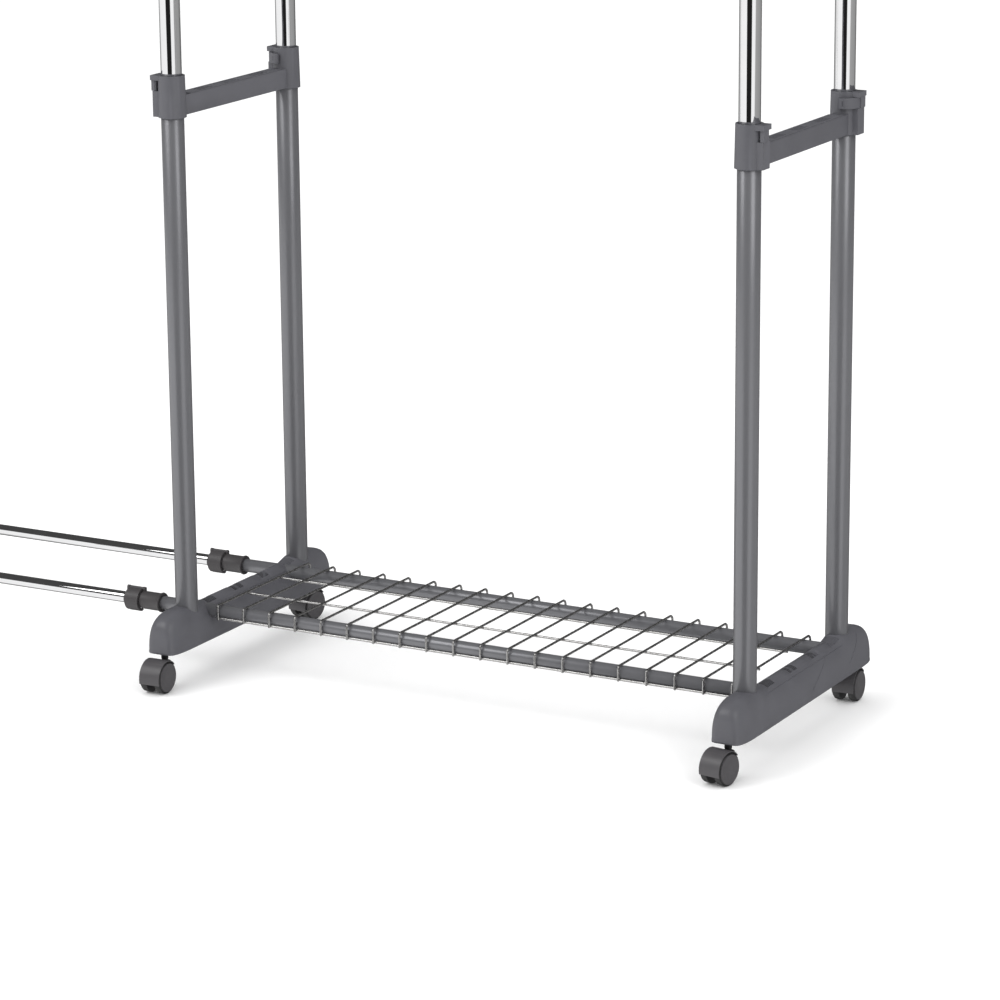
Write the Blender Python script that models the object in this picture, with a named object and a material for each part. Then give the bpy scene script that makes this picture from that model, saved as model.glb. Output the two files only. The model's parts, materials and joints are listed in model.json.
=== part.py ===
"""Rolling clothes rack with two hanging rails that telescope up from end frames on casters.

X runs along the rails, -Y is the front, Z is up.  Everything hangs on one empty, placed so
that the world origin is the centre of the rack's footprint on the floor.
"""
import math

import bmesh
import bpy
from mathutils import Matrix, Vector

# Layout of the rack, in metres.
FRAME_X = 0.3855            # end frames stand at +-FRAME_X
UPRIGHT_Y = 0.1315          # front and back uprights
RAIL_Y = 0.0973             # the two bottom rails
RAIL_Z = 0.0817
CASTER_Y = 0.1806
TOP_RAIL_Z = 1.500
FOOTPRINT_CENTRE = (-0.24735, -0.01450)

GAP = 0.0003                # left between pieces that touch

# Tubes: outer radius and wall.
POST_R, POST_WALL = 0.0140, 0.0009
MAST_R, MAST_WALL = 0.01275, 0.0010
RAIL_R, RAIL_WALL = 0.0086, 0.0010
ROD_R, ROD_WALL = 0.0071, 0.0009
HANGER_R, HANGER_WALL = 0.0125, 0.0010
TUBE_SIDES = 16

# Feet.
FOOT_BOTTOM = 0.0478
FOOT_HALF_LENGTH = 0.193
FOOT_HALF_WIDTH = 0.0226
FOOT_OUT = 0.0025           # how far the feet and casters sit outboard of the uprights
FOOT_HEIGHT = 0.0442
FOOT_SWELL = 0.0045         # extra height round the uprights
FOOT_END = 0.040            # length of the rounded nose and tail
FOOT_WALL = 0.0025
NOSE_POWER, TAIL_POWER = 0.30, 0.28      # how square the nose and tail are
POST_BOTTOM = 0.058

# Height lock on each end frame.
BRACE_BOTTOM = 0.7109
BRACE_TOP = 0.7620
COLLAR_R_LOW, COLLAR_R_HIGH = 0.0172, 0.0162
BAR_BOTTOM, BAR_TOP = 0.7118, 0.7360
BAR_HALF_WIDTH = 0.0098
BAR_OUT = 0.0012            # the bar sits slightly outboard of the uprights
PAD_TOP = 0.7368            # raised panel along the bar, clear of both levers
PAD_HALF_LENGTH, PAD_HALF_WIDTH = 0.1040, 0.0090
POST_TOP = 0.7400
BOSS_OUT = 0.0215
BOSS_IN, BOSS_FRONT, BOSS_BACK = 0.0060, -0.0100, 0.0085
LIP_IN, LIP_OUT, LIP_FRONT = 0.0040, 0.0232, -0.0120
LEVER_LOW, LEVER_HIGH = 0.7428, 0.7555
LEVER_BLOCK_IN, LEVER_BLOCK_OUT = 0.0186, 0.0228
LEVER_BLOCK_FRONT, LEVER_BLOCK_BACK = -0.0100, 0.0030
LEVER_IN, LEVER_OUT = 0.0178, 0.0218
PIVOT_RADIUS = 0.0201       # from the upright's axis to the lever's pin
PIVOT_ANGLE = -22.0         # degrees past the outboard direction
PIN_R = 0.0014

# Masts and hanging rails.
MAST_BOTTOM, MAST_TOP = 0.600, 1.482
ELBOW_R = 0.0165
ELBOW_REACH = 0.048

# Bottom rails, their locks and the pull-out rods.
RAIL_LEFT, RAIL_RIGHT = -0.4715, 0.3875
LOCK_LEFT, LOCK_STEP, LOCK_RIGHT = -0.4970, -0.4730, -0.4435
LOCK_RING_R, LOCK_NECK_R = 0.0120, 0.0108
TAB_IN, TAB_OUT = 0.0112, 0.0146
TAB_PIVOT_RADIUS = 0.0140
TAB_PIVOT_ANGLE = 96.0      # degrees from the front, over the top
TAB_PIN_R = 0.0010
ROD_LEFT, ROD_RIGHT = -0.9030, -0.1430
CAP_R, CAP_LENGTH = 0.0088, 0.016

# Wire shelf.
WIRE_R = 0.0015
WIRE_FIRST, WIRE_LAST, WIRE_COUNT = -0.3552, 0.3580, 20
WIRE_SIDES = 5
SHELF_MID_WIRES = (-0.035, 0.044)
SHELF_FRONT_DROP = 0.0067   # how far the front long wire lies below the rails' axes

# Casters.
WHEEL_R = 0.020
WHEEL_WIDTH = 0.0104
WEB_HALF = 0.0054
TRAIL = 0.0175
HOOD_IN, HOOD_OUT = 0.0206, 0.0218
STEM_R = 0.0045
STEM_BOTTOM, STEM_TOP = 0.027, 0.074
AXLE_R = 0.0020
CASTERS = {
    "front_left": (-1, -1, 2.0),
    "front_right": (1, -1, -9.5),
    "back_left": (-1, 1, -9.0),
    "back_right": (1, 1, 3.0),
}

SIDES = {"left": -1, "right": 1}
ROWS = {"front": -1, "back": 1}


def clear_scene():
    for item in list(bpy.data.objects):
        bpy.data.objects.remove(item, do_unlink=True)


def make_material(name, colour, roughness, metallic):
    material = bpy.data.materials.new(name)
    material.use_nodes = True
    shader = material.node_tree.nodes["Principled BSDF"]
    shader.inputs["Base Color"].default_value = (*colour, 1.0)
    shader.inputs["Roughness"].default_value = roughness
    shader.inputs["Metallic"].default_value = metallic
    material.diffuse_color = (*colour, 1.0)
    return material


def make_object(name, bm, material=None):
    """Turn a bmesh into a smooth-shaded object under the rack's own origin."""
    bmesh.ops.recalc_face_normals(bm, faces=bm.faces)
    mesh = bpy.data.meshes.new(name)
    bm.to_mesh(mesh)
    bm.free()
    mesh.shade_smooth()
    mesh.set_sharp_from_angle(angle=math.radians(35))
    item = bpy.data.objects.new(name, mesh)
    bpy.context.scene.collection.objects.link(item)
    item.parent = RACK
    if material is not None:
        mesh.materials.append(material)
    return item


def boolean(item, tool, operation="DIFFERENCE"):
    """Cut or join with a tool that is itself left out of the rack."""
    modifier = item.modifiers.new(operation.lower(), "BOOLEAN")
    modifier.operation = operation
    modifier.solver = "EXACT"
    modifier.object = tool
    tool.hide_render = True
    tool.display_type = "WIRE"


def settle(item, location):
    """Move an object and every tool that shapes it to its place."""
    item.location = location
    for modifier in item.modifiers:
        settle(modifier.object, location)


def bridge(bm, loop_a, loop_b):
    count = len(loop_a)
    for i in range(count):
        j = (i + 1) % count
        bm.faces.new((loop_a[i], loop_a[j], loop_b[j], loop_b[i]))


def turned(profile, sides=TUBE_SIDES, ring=False):
    """Turn (radius, height) points about Z; a ring's profile is closed, others are capped."""
    bm = bmesh.new()
    loops = []
    for radius, height in profile:
        loop = []
        for i in range(sides):
            angle = 2 * math.pi * i / sides
            loop.append(bm.verts.new((radius * math.cos(angle), radius * math.sin(angle), height)))
        loops.append(loop)
    for lower, upper in zip(loops, loops[1:]):
        bridge(bm, lower, upper)
    if ring:
        bridge(bm, loops[-1], loops[0])
    else:
        bm.faces.new(loops[0])
        bm.faces.new(loops[-1])
    return bm


def tube(outer, wall, start, end):
    inner = outer - wall
    return turned([(outer, start), (outer, end), (inner, end), (inner, start)], ring=True)


def rod(radius, start, end, sides=TUBE_SIDES):
    return turned([(radius, start), (radius, end)], sides)


def prism(outline, low, high):
    """Extrude a flat outline of (x, y) points from z=low to z=high."""
    bm = bmesh.new()
    bottom = [bm.verts.new((x, y, low)) for x, y in outline]
    top = [bm.verts.new((x, y, high)) for x, y in outline]
    bm.faces.new(bottom)
    bm.faces.new(top)
    bridge(bm, bottom, top)
    return bm


def box(low, high):
    outline = [(low[0], low[1]), (high[0], low[1]), (high[0], high[1]), (low[0], high[1])]
    return prism(outline, low[2], high[2])


def arc(radius, start, end, steps, centre=(0.0, 0.0)):
    points = []
    for i in range(steps + 1):
        angle = math.radians(start + (end - start) * i / steps)
        points.append((centre[0] + radius * math.cos(angle), centre[1] + radius * math.sin(angle)))
    return points


def swept(path, radius, sides):
    """A round wire along a path of points, with flat ends."""
    bm = bmesh.new()
    loops = []
    for i, point in enumerate(path):
        before = path[max(i - 1, 0)]
        after = path[min(i + 1, len(path) - 1)]
        turn = (after - before).normalized().to_track_quat("Z", "X")
        loop = []
        for k in range(sides):
            angle = 2 * math.pi * k / sides
            offset = Vector((radius * math.cos(angle), radius * math.sin(angle), 0.0))
            loop.append(bm.verts.new(point + turn @ offset))
        loops.append(loop)
    for first, second in zip(loops, loops[1:]):
        bridge(bm, first, second)
    bm.faces.new(loops[0])
    bm.faces.new(loops[-1])
    return bm


def moved(bm, matrix):
    bmesh.ops.transform(bm, matrix=matrix, verts=bm.verts)
    return bm


def merged(parts):
    """One bmesh holding several shapes that don't touch."""
    whole = bmesh.new()
    for part in parts:
        mesh = bpy.data.meshes.new("merge_step")
        part.to_mesh(mesh)
        part.free()
        whole.from_mesh(mesh)
        bpy.data.meshes.remove(mesh)
    return whole


def at(x=0.0, y=0.0, z=0.0):
    return Matrix.Translation((x, y, z))


ALONG_X = Matrix.Rotation(math.radians(90), 4, "Y")
MIRROR_X = Matrix.Scale(-1, 4, (1, 0, 0))
MIRROR_Y = Matrix.Scale(-1, 4, (0, 1, 0))


def mirror_to(bm, side, row):
    """Copy a shape drawn for the right frame's front corner to another corner."""
    if side < 0:
        moved(bm, MIRROR_X)
    if row > 0:
        moved(bm, MIRROR_Y)
    return bm


# ---------------------------------------------------------------- feet

def foot_section(y, inset):
    """Half width, height and squareness of the foot's arch at a distance y from its middle."""
    near_post = math.exp(-((abs(y) - UPRIGHT_Y) / 0.022) ** 2)
    beyond_post = 1.0 if abs(y) > UPRIGHT_Y else near_post
    half_width = FOOT_HALF_WIDTH - inset
    height = FOOT_HEIGHT + FOOT_SWELL * beyond_post - inset
    squareness = 1.75 + 1.25 * beyond_post
    return half_width, height, squareness


def foot_loft(inset, bottom):
    """The foot's outer skin, or with an inset its inner skin, as a closed solid."""
    end = FOOT_END - inset
    straight = FOOT_HALF_LENGTH - FOOT_END
    stations = []
    for step in range(5):
        turn = math.radians(82 - 20.5 * step)
        stations.append((straight + end * math.sin(turn), math.cos(turn)))
    stations += [(y, 1.0) for y in (0.132, 0.112, 0.085, 0.0)]
    stations += [(-y, scale) for y, scale in stations[-2::-1]]
    stations = [(y, scale ** (TAIL_POWER if y > 0 else NOSE_POWER)) for y, scale in stations]
    bm = bmesh.new()
    loops = []
    steps = 6
    for y, scale in stations:
        half_width, height, power = foot_section(y, inset)
        loop = []
        for i in range(2 * steps + 1):
            angle = math.pi * i / (2 * steps)
            across = math.copysign(abs(math.cos(angle)) ** (2 / power), math.cos(angle))
            up = math.sin(angle) ** (2 / 2.6)
            x = half_width * scale * across
            z = FOOT_BOTTOM + height * (0.25 * scale + 0.75 * scale ** 1.2) * up
            loop.append(bm.verts.new((x, y, z)))
        loop.append(bm.verts.new((-half_width * scale, y, bottom)))
        loop.append(bm.verts.new((half_width * scale, y, bottom)))
        loops.append(loop)
    for first, second in zip(loops, loops[1:]):
        bridge(bm, first, second)
    bm.faces.new(loops[0])
    bm.faces.new(loops[-1])
    return bm


def build_foot(name, side):
    out = at(side * FOOT_OUT)
    foot = make_object(name, moved(foot_loft(0.0, FOOT_BOTTOM - 0.0012), out), GREY_PLASTIC)
    hollow = make_object(name + "_hollow", moved(foot_loft(FOOT_WALL, FOOT_BOTTOM - 0.01), out))
    sockets = []
    for row in ROWS.values():
        sockets.append(moved(rod(POST_R + 0.0035, 0.050, 0.120, 12), at(0, row * UPRIGHT_Y)))
        sockets.append(moved(rod(0.0085, 0.048, 0.090, 8), at(side * FOOT_OUT, row * CASTER_Y)))
        across = rod(RAIL_R + 0.003, -0.03, 0.03, 8)
        sockets.append(moved(across, at(0, row * RAIL_Y, RAIL_Z) @ ALONG_X))
    for index, socket in enumerate(sockets):
        boolean(hollow, make_object(f"{name}_socket_{index}", socket))
    boolean(foot, hollow)
    bores = []
    for row in ROWS.values():
        bores.append(moved(rod(POST_R + GAP, POST_BOTTOM - GAP, 0.120), at(0, row * UPRIGHT_Y)))
        bores.append(moved(rod(STEM_R + GAP, 0.030, STEM_TOP + GAP, 12), at(side * FOOT_OUT, row * CASTER_Y)))
        blind_end = 0.03 if side < 0 else RAIL_RIGHT + GAP - FRAME_X
        across = rod(RAIL_R + GAP, -0.03, blind_end)
        bores.append(moved(across, at(0, row * RAIL_Y, RAIL_Z) @ ALONG_X))
    boolean(foot, make_object(name + "_bores", merged(bores)))
    settle(foot, (side * FRAME_X, 0, 0))


# ---------------------------------------------------------------- end frames

def build_post(name, side, row):
    post = make_object(name, tube(POST_R, POST_WALL, POST_BOTTOM, POST_TOP), GREY_PAINT)
    post.location = (side * FRAME_X, row * UPRIGHT_Y, 0)


def lever_pivot():
    """The lever's pin, seen from the upright's axis, on the right frame's front corner."""
    angle = math.radians(PIVOT_ANGLE)
    return Vector((PIVOT_RADIUS * math.cos(angle), PIVOT_RADIUS * math.sin(angle)))


def build_brace(name, side):
    """The bar between two uprights, with a collar and a lever seat at each end."""
    reach = UPRIGHT_Y - 0.008
    middle = side * BAR_OUT
    bar = box((middle - BAR_HALF_WIDTH, -reach, BAR_BOTTOM), (middle + BAR_HALF_WIDTH, reach, BAR_TOP))
    brace = make_object(name, bar, GREY_PLASTIC)
    pad_low = (middle - PAD_HALF_WIDTH, -PAD_HALF_LENGTH, BAR_TOP - 0.002)
    pad = box(pad_low, (middle + PAD_HALF_WIDTH, PAD_HALF_LENGTH, PAD_TOP))
    boolean(brace, make_object(name + "_pad", pad), "UNION")
    pivot = lever_pivot()
    bores = []
    for row in ROWS.values():
        place = at(0, row * UPRIGHT_Y)
        collar = turned([(COLLAR_R_LOW, BRACE_BOTTOM), (COLLAR_R_HIGH, BRACE_TOP)])
        boolean(brace, make_object(f"{name}_collar_{row}", moved(collar, place)), "UNION")
        seat = box((BOSS_IN, BOSS_FRONT, BRACE_BOTTOM), (BOSS_OUT, BOSS_BACK, LEVER_LOW - GAP))
        lip = box((LIP_IN, LIP_FRONT, LEVER_HIGH + GAP), (LIP_OUT, BOSS_BACK, BRACE_TOP))
        for part, label in ((seat, "seat"), (lip, "lip")):
            mirror_to(part, side, row)
            boolean(brace, make_object(f"{name}_{label}_{row}", moved(part, place)), "UNION")
        bores.append(moved(rod(POST_R + GAP, 0.700, POST_TOP + GAP), place))
        bores.append(moved(rod(MAST_R + GAP, POST_TOP - 0.002, 0.780), place))
        hole = moved(rod(PIN_R + GAP, LEVER_LOW - 0.006, 0.770, 8), at(pivot.x, pivot.y))
        bores.append(moved(mirror_to(hole, side, row), place))
    for index, bore in enumerate(bores):
        boolean(brace, make_object(f"{name}_bore_{index}", bore))
    settle(brace, (side * FRAME_X, 0, 0))


def build_height_lever(name, side, row):
    """A cam lever that wraps the collar; its origin is on its pin."""
    pivot = lever_pivot()
    low, high = LEVER_LOW, LEVER_HIGH
    outline = arc(LEVER_OUT, PIVOT_ANGLE, 92, 8) + arc(LEVER_IN, 92, PIVOT_ANGLE + 6, 8)
    lever_mesh = moved(prism(outline, low, high), at(-pivot.x, -pivot.y))
    lever = make_object(name, mirror_to(lever_mesh, side, row), GREY_PLASTIC)
    barrel = rod(0.0021, low, high, 10)
    pin = rod(PIN_R, low - 0.005, BRACE_TOP - 0.0005, 8)
    block_low = (LEVER_BLOCK_IN - pivot.x, LEVER_BLOCK_FRONT - pivot.y, low)
    block = box(block_low, (LEVER_BLOCK_OUT - pivot.x, LEVER_BLOCK_BACK - pivot.y, high))
    for part, label in ((barrel, "barrel"), (block, "block"), (pin, "pin")):
        boolean(lever, make_object(f"{name}_{label}", mirror_to(part, side, row)), "UNION")
    settle(lever, (side * (FRAME_X + pivot.x), row * (UPRIGHT_Y - pivot.y), 0))


# ---------------------------------------------------------------- masts and hanging rails

def build_mast(name, side, row):
    mast = make_object(name, tube(MAST_R, MAST_WALL, MAST_BOTTOM, MAST_TOP), CHROME)
    mast.location = (side * FRAME_X, row * UPRIGHT_Y, 0)


def build_elbow(name, side, row):
    """The corner fitting that joins a mast to its hanging rail."""
    place = at(side * FRAME_X, row * UPRIGHT_Y)
    round_top = arc(0.006, 0, 90, 3, (ELBOW_R - 0.006, TOP_RAIL_Z + ELBOW_R - 0.006))
    upright = turned([(ELBOW_R, TOP_RAIL_Z - 0.045)] + round_top)
    elbow = make_object(name, moved(upright, place), GREY_PLASTIC)
    turn = ALONG_X if side < 0 else Matrix.Rotation(math.radians(-90), 4, "Y")
    across = moved(rod(ELBOW_R - 0.0004, 0.002, ELBOW_REACH), place @ at(z=TOP_RAIL_Z) @ turn)
    boolean(elbow, make_object(name + "_arm", across), "UNION")
    socket = moved(rod(MAST_R + GAP, TOP_RAIL_Z - 0.06, MAST_TOP + GAP), place)
    boolean(elbow, make_object(name + "_mast_bore", socket))
    bore = moved(rod(HANGER_R + GAP, 0.0157, 0.06), place @ at(z=TOP_RAIL_Z) @ turn)
    boolean(elbow, make_object(name + "_rail_bore", bore))


def build_hanging_rail(name, row):
    reach = FRAME_X - 0.016
    rail = make_object(name, tube(HANGER_R, HANGER_WALL, -reach, reach), CHROME)
    rail.rotation_euler = (0, math.radians(90), 0)
    rail.location = (0, row * UPRIGHT_Y, TOP_RAIL_Z)


# ---------------------------------------------------------------- bottom rails and pull-out rods

# Drawn with x to the front and y up, extruded along X, and tipped so +y meets the tab's pin.
TAB_AXES = Matrix(((0, 0, 1, 0), (-1, 0, 0, 0), (0, 1, 0, 0), (0, 0, 0, 1)))
TAB_AXES = TAB_AXES @ Matrix.Rotation(math.radians(TAB_PIVOT_ANGLE - 90), 4, "Z")


def lay_along_x(item, row):
    item.rotation_euler = (0, math.radians(90), 0)
    item.location = (0, row * RAIL_Y, RAIL_Z)


def build_rail_lock(name, row):
    """The collar at a rail's open end; the rod slides through its neck."""
    outer = [
        (LOCK_NECK_R, LOCK_LEFT),
        (LOCK_NECK_R, LOCK_STEP),
        (LOCK_RING_R, LOCK_STEP),
        (LOCK_RING_R, LOCK_RIGHT - 0.003),
        (LOCK_RING_R + 0.0009, LOCK_RIGHT),
    ]
    inner = [
        (RAIL_R + GAP, LOCK_RIGHT),
        (RAIL_R + GAP, RAIL_LEFT - GAP),
        (ROD_R + 2 * GAP, RAIL_LEFT - GAP),
        (ROD_R + 2 * GAP, LOCK_LEFT),
    ]
    collar = make_object(name, turned(outer + inner, ring=True), DARK_PLASTIC)
    lay_along_x(collar, row)
    ear = arc(0.0026, 0, 180, 5, (0, TAB_PIVOT_RADIUS)) + [(-0.0026, 0.009), (0.0026, 0.009)]
    place = at(0, row * RAIL_Y, RAIL_Z) @ TAB_AXES
    for low, high, label in (
        (LOCK_LEFT, LOCK_LEFT + 0.0035, "outer_ear"),
        (LOCK_STEP - 0.0005, LOCK_STEP + 0.006, "inner_ear"),
    ):
        boolean(collar, make_object(f"{name}_{label}", moved(prism(ear, low, high), place)), "UNION")
    hole = rod(TAB_PIN_R + GAP, LOCK_LEFT - 0.002, LOCK_STEP + 0.004, 8)
    hole = moved(hole, at(0, TAB_PIVOT_RADIUS))
    boolean(collar, make_object(name + "_pin_hole", moved(hole, place)))


def build_rail_tab(name, row):
    """The flip tab that clamps a rod; its origin is on its pin."""
    low, high = LOCK_LEFT + 0.0035 + GAP, LOCK_STEP - 0.0005 - GAP
    centre = (0, -TAB_PIVOT_RADIUS)
    outline = arc(TAB_OUT, 90, -88, 9, centre) + arc(TAB_IN, -88, 84, 9, centre)
    tab = make_object(name, moved(prism(outline, low, high), TAB_AXES), DARK_PLASTIC)
    barrel = moved(rod(0.0022, low, high, 10), TAB_AXES)
    pin = moved(rod(TAB_PIN_R, LOCK_LEFT + 0.0005, LOCK_STEP + 0.003, 8), TAB_AXES)
    for part, label in ((barrel, "barrel"), (pin, "pin")):
        boolean(tab, make_object(f"{name}_{label}", part), "UNION")
    pivot = TAB_AXES @ Vector((0, TAB_PIVOT_RADIUS, 0))
    settle(tab, (0, row * RAIL_Y + pivot.y, RAIL_Z + pivot.z))


def build_rod(row_name, row):
    extension = make_object(f"{row_name}_extension_rod", tube(ROD_R, ROD_WALL, ROD_LEFT, ROD_RIGHT), CHROME)
    lay_along_x(extension, row)
    bore_end = ROD_LEFT - GAP
    cap_left = bore_end - 0.002
    round_nose = arc(0.003, 180, 90, 3, (cap_left + 0.003, CAP_R - 0.003))
    outer = [(radius, height) for height, radius in round_nose] + [(CAP_R, cap_left + CAP_LENGTH)]
    cap = make_object(f"{row_name}_rod_cap", turned(outer), DARK_PLASTIC)
    lay_along_x(cap, row)
    bore = make_object(f"{row_name}_rod_cap_bore", rod(ROD_R + GAP, bore_end, bore_end + 0.03))
    lay_along_x(bore, row)
    boolean(cap, bore)


# ---------------------------------------------------------------- wire shelf

def cross_wire_path(x):
    """Down the front rail, across both rails and hooked behind the back rail."""
    top = RAIL_Z + RAIL_R + GAP + WIRE_R
    front = -RAIL_Y - RAIL_R - 2 * GAP - WIRE_R
    back = RAIL_Y + RAIL_R + 0.0085
    bend = 0.003
    path = [(front, RAIL_Z - SHELF_FRONT_DROP - WIRE_R), (front, top - bend), (front + 0.3 * bend, top - 0.3 * bend)]
    path += [(front + bend, top)]
    path += [(back - 2 * bend, top), (back - 0.6 * bend, top - 0.5 * bend), (back, top - 2 * bend)]
    path += [(back, RAIL_Z - 0.004)]
    return [Vector((x, y, z)) for y, z in path]


def build_wire_shelf():
    step = (WIRE_LAST - WIRE_FIRST) / (WIRE_COUNT - 1)
    cross = [swept(cross_wire_path(WIRE_FIRST + i * step), WIRE_R, WIRE_SIDES) for i in range(WIRE_COUNT)]
    shelf = make_object("wire_shelf", merged(cross), WIRE_METAL)
    weld = 2 * WIRE_R - 0.0004
    top = RAIL_Z + RAIL_R + GAP + WIRE_R
    front = -RAIL_Y - RAIL_R - 2 * GAP - WIRE_R
    back = RAIL_Y + RAIL_R + 0.0085
    places = [(front + weld, RAIL_Z - SHELF_FRONT_DROP)]
    places += [(y, top - weld) for y in SHELF_MID_WIRES]
    places += [(back - weld, RAIL_Z - 0.0022)]
    lengths = []
    for y, z in places:
        path = [Vector((WIRE_FIRST - 0.002, y, z)), Vector((WIRE_LAST + 0.002, y, z))]
        lengths.append(swept(path, WIRE_R, WIRE_SIDES))
    boolean(shelf, make_object("wire_shelf_long_wires", merged(lengths)), "UNION")


# ---------------------------------------------------------------- casters

def build_caster(name, side, row, degrees):
    """A twin-wheel caster: hood, stem, axle and two wheels, turned about the stem."""
    pivot = bpy.data.objects.new(name + "_swivel", None)
    bpy.context.scene.collection.objects.link(pivot)
    pivot.parent = RACK
    pivot.location = (side * (FRAME_X + FOOT_OUT), row * CASTER_Y, 0)
    pivot.rotation_euler = (0, 0, math.radians(degrees))
    axle_place = at(0, -TRAIL, WHEEL_R) @ ALONG_X
    half = WEB_HALF + GAP + WHEEL_WIDTH * 0.80
    to_side = Matrix(((0, 0, 1, 0), (1, 0, 0, 0), (0, 1, 0, 0), (0, 0, 0, 1)))
    side_place = at(0, -TRAIL, WHEEL_R) @ to_side
    guard = arc(HOOD_OUT, 38, 196, 10) + arc(HOOD_IN, 196, 38, 10)
    hood = make_object(name + "_hood", moved(prism(guard, -half, half), side_place), GREY_PLASTIC)
    web = arc(HOOD_IN + 0.0005, 38, 196, 8) + [(-0.004, -0.008), (0.006, -0.008), (0.010, 0.0)]
    boss = rod(0.0078, 0.021, 0.0355, 12)
    parts = {"web": moved(prism(web, -WEB_HALF, WEB_HALF), side_place), "boss": boss}
    for label, part in parts.items():
        tool = make_object(f"{name}_{label}", part)
        tool.parent = pivot
        boolean(hood, tool, "UNION")
    wheel_rooms = [rod(HOOD_IN - 0.0002, WEB_HALF, 0.02, 24), rod(HOOD_IN - 0.0002, -0.02, -WEB_HALF, 24)]
    holes = {
        "wheel_rooms": moved(merged(wheel_rooms), axle_place),
        "stem_hole": rod(STEM_R + GAP, STEM_BOTTOM - GAP, 0.05, 12),
        "axle_hole": moved(rod(AXLE_R + GAP, -0.02, 0.02, 8), axle_place),
    }
    for label, part in holes.items():
        tool = make_object(f"{name}_{label}", part)
        tool.parent = pivot
        boolean(hood, tool)
    stem = make_object(name + "_stem", rod(STEM_R, STEM_BOTTOM, STEM_TOP, 12), STEEL)
    reach = WEB_HALF + GAP + WHEEL_WIDTH - 0.002
    axle = make_object(name + "_axle", moved(rod(AXLE_R, -reach, reach, 8), axle_place), STEEL)
    for item in (hood, stem, axle):
        item.parent = pivot
    for label, way in SIDES.items():
        wheel = make_object(f"{name}_{label}_wheel", wheel_mesh(way), BLACK_TREAD)
        wheel.parent = pivot
        wheel.location = (way * (WEB_HALF + GAP), -TRAIL, WHEEL_R)


def wheel_mesh(way):
    """One wheel with its blind axle bore facing the caster's middle."""
    bore = AXLE_R + GAP
    depth = WHEEL_WIDTH - 0.002 + GAP
    outline = [
        (bore, 0.0),
        (WHEEL_R, 0.0),
        (WHEEL_R, WHEEL_WIDTH - 0.0025),
        (WHEEL_R - 0.0015, WHEEL_WIDTH),
    ]
    bm = turned(outline, 20)
    mouth = [face for face in bm.faces if all(abs(v.co.z) < 1e-7 and v.co.xy.length < bore + 1e-6 for v in face.verts)]
    pushed = bmesh.ops.extrude_face_region(bm, geom=mouth)
    bmesh.ops.delete(bm, geom=mouth, context="FACES_ONLY")
    moving = [item for item in pushed["geom"] if isinstance(item, bmesh.types.BMVert)]
    bmesh.ops.translate(bm, verts=moving, vec=(0, 0, depth))
    turn = ALONG_X if way > 0 else Matrix.Rotation(math.radians(-90), 4, "Y")
    return moved(bm, turn)


# ---------------------------------------------------------------- the whole rack

def build_rack():
    for side_name, side in SIDES.items():
        build_foot(f"{side_name}_foot", side)
        build_brace(f"{side_name}_brace", side)
        for row_name, row in ROWS.items():
            corner = f"{row_name}_{side_name}"
            build_post(f"{corner}_lower_tube", side, row)
            build_height_lever(f"{corner}_height_lever", side, row)
            build_mast(f"{corner}_upper_tube", side, row)
            build_elbow(f"{corner}_elbow", side, row)
    for row_name, row in ROWS.items():
        build_hanging_rail(f"{row_name}_hanging_rail", row)
        rail = make_object(f"{row_name}_bottom_rail", tube(RAIL_R, RAIL_WALL, RAIL_LEFT, RAIL_RIGHT), GREY_PAINT)
        lay_along_x(rail, row)
        build_rail_lock(f"{row_name}_rail_lock", row)
        build_rail_tab(f"{row_name}_rail_tab", row)
        build_rod(row_name, row)
    build_wire_shelf()
    for name, (side, row, degrees) in CASTERS.items():
        build_caster(f"{name}_caster", side, row, degrees)


clear_scene()
RACK = bpy.data.objects.new("rack_origin", None)
bpy.context.scene.collection.objects.link(RACK)
RACK.location = (-FOOTPRINT_CENTRE[0], -FOOTPRINT_CENTRE[1], 0)
GREY_PLASTIC = make_material("grey_plastic", (0.145, 0.145, 0.160), 0.48, 0.0)
DARK_PLASTIC = make_material("dark_plastic", (0.090, 0.083, 0.086), 0.50, 0.0)
GREY_PAINT = make_material("grey_paint", (0.190, 0.190, 0.205), 0.35, 0.35)
CHROME = make_material("chrome", (0.86, 0.86, 0.87), 0.06, 1.0)
WIRE_METAL = make_material("wire_metal", (0.52, 0.51, 0.50), 0.28, 1.0)
STEEL = make_material("dark_steel", (0.045, 0.045, 0.048), 0.40, 0.6)
BLACK_TREAD = make_material("black_tread", (0.020, 0.020, 0.021), 0.55, 0.0)
build_rack()
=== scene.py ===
"""The rolling clothes rack's looks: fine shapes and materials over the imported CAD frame."""
import json
import math

import bmesh
import bpy
from mathutils import Matrix, Vector


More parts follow.
